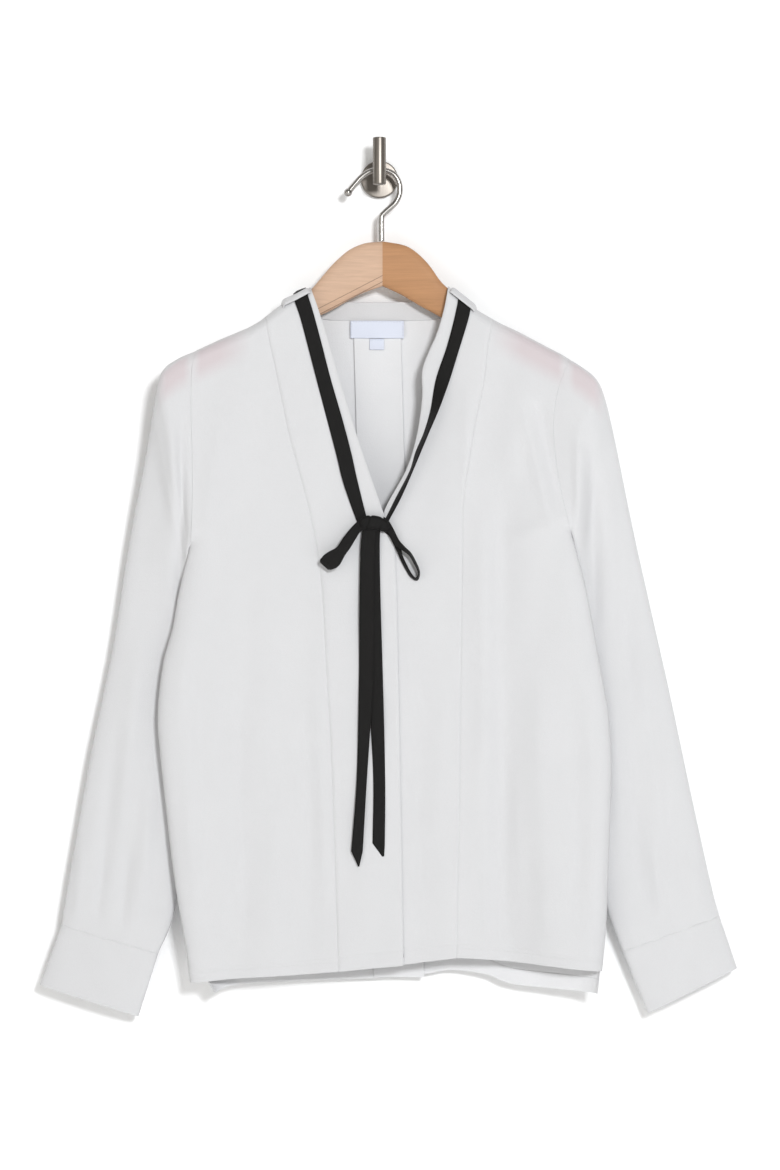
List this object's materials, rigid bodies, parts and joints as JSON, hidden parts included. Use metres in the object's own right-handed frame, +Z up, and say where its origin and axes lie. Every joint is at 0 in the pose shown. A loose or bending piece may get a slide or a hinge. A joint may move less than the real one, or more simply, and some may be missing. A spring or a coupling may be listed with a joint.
{
  "type": "tie neck blouse on a wooden hanger and wall hook",
  "caption": "Long sleeved blouse with a V neck, banded fronts and a ribbon tied in a bow, hung on a wooden hanger from a wall hook.",
  "frame": {"origin": "centre of the wall plate's back face, on the wall", "axes": "+X to the right as seen from the front, +Y into the wall, +Z up"},
  "size_m": [0.6702, 0.0674, 0.8422],
  "materials": {
    "crepe": "white crepe, matte, slightly sheer",
    "ribbon": "black grosgrain ribbon",
    "label": "pale woven tape, bare",
    "hanger_wood": "pale varnished wood",
    "hook_wire": "polished wire",
    "wall_hook": "brushed nickel"
  },
  "bodies": {
    "root": {"right_front": "crepe", "left_front": "crepe", "right_band": "crepe", "left_band": "crepe", "neck_band": "crepe", "back": "crepe", "right_sleeve": "crepe", "left_sleeve": "crepe", "right_cuff": "crepe", "left_cuff": "crepe", "carrier_right": "crepe", "carrier_left": "crepe", "tie_neck": "ribbon", "tie_knot": "ribbon", "tie_loop_right": "ribbon", "tie_loop_left": "ribbon", "tie_tail_right": "ribbon", "tie_tail_left": "ribbon", "label": "label", "size_tag": "label", "hanger_arm_right": "hanger_wood", "hanger_arm_left": "hanger_wood", "hanger_hook": "hook_wire", "wall_plate": "wall_hook", "wall_peg": "wall_hook"}
  },
  "joints": []
}
